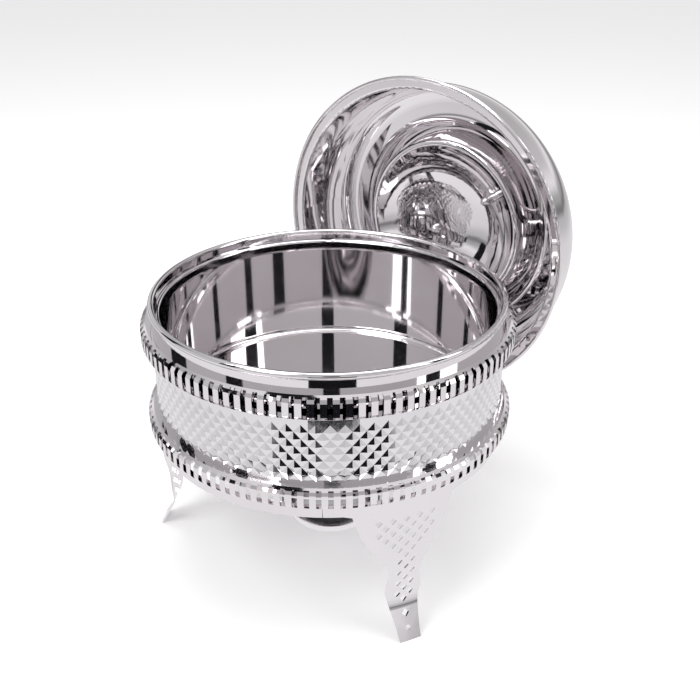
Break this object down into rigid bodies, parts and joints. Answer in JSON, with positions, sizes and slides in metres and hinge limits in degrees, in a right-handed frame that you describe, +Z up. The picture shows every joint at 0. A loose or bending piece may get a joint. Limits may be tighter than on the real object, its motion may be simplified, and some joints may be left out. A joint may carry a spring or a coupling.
{
  "type": "round chafing dish",
  "caption": "Round chafing dish: pierced frame on stamped legs, nested water and food pans, hung fuel burner with snuffer, and a domed lift-off lid parked on hooks behind.",
  "frame": {"origin": "on the body's axis at table height", "axes": "+Z up along the body's axis; -Y is the front, and the lid is parked behind to the right, towards azimuth 52 degrees"},
  "size_m": [0.4204, 0.4628, 0.419],
  "materials": {
    "polished_stainless": "mirror polished stainless steel",
    "embossed_stainless": "mirror polished stainless steel pressed with small diamond pyramids",
    "plain_stainless": "satin stainless steel",
    "tin_can": "dull tinplate",
    "fuel_gel": "wet translucent gel",
    "black_knob": "matt black heat-proof plastic"
  },
  "bodies": {
    "frame": {"frame_collar": "polished_stainless", "upper_gallery": "polished_stainless", "embossed_band": "embossed_stainless", "lower_gallery": "polished_stainless", "skirt_ring": "polished_stainless", "leg_front_right": "polished_stainless", "leg_left": "polished_stainless", "leg_rear": "polished_stainless", "burner_spider": "plain_stainless", "burner_holder": "polished_stainless", "hanger_rod_rear": "plain_stainless", "hanger_rod_right": "plain_stainless", "hanger_rod_left": "plain_stainless", "hanger_nuts": "plain_stainless", "snuffer_collar": "plain_stainless", "lid_hook_right": "plain_stainless", "lid_hook_left": "plain_stainless", "hook_rivets": "plain_stainless"},
    "water_pan": {"water_pan": "polished_stainless"},
    "food_pan": {"food_pan": "polished_stainless"},
    "fuel_can": {"fuel_can": "tin_can", "can_seam_ring": "tin_can", "can_top": "tin_can", "fuel_gel": "fuel_gel"},
    "snuffer": {"snuffer_cover": "plain_stainless", "snuffer_knob": "black_knob"},
    "lid": {"lid_shell": "polished_stainless", "lid_handle": "polished_stainless", "handle_studs": "plain_stainless", "handle_washers": "polished_stainless", "dome_nuts": "polished_stainless"}
  },
  "joints": [
    {"name": "water_pan_lift", "type": "slide", "parent": "frame", "child": "water_pan", "axis": [0, 0, 1], "range_m": [0, 0.15]},
    {"name": "food_pan_lift", "type": "slide", "parent": "water_pan", "child": "food_pan", "axis": [0, 0, 1], "range_m": [0, 0.15]},
    {"name": "fuel_can_lift", "type": "slide", "parent": "frame", "child": "fuel_can", "axis": [0, 0, 1], "range_m": [0, 0.03]},
    {"name": "snuffer_swing", "type": "hinge", "parent": "frame", "child": "snuffer", "pos_m": [0, 0.05006, 0.075], "axis": [0, 0, 1], "range_deg": [-180, 0]},
    {"name": "lid_lift", "type": "slide", "parent": "frame", "child": "lid", "axis": [0, 0, 1], "range_m": [0, 0.3]}
  ]
}
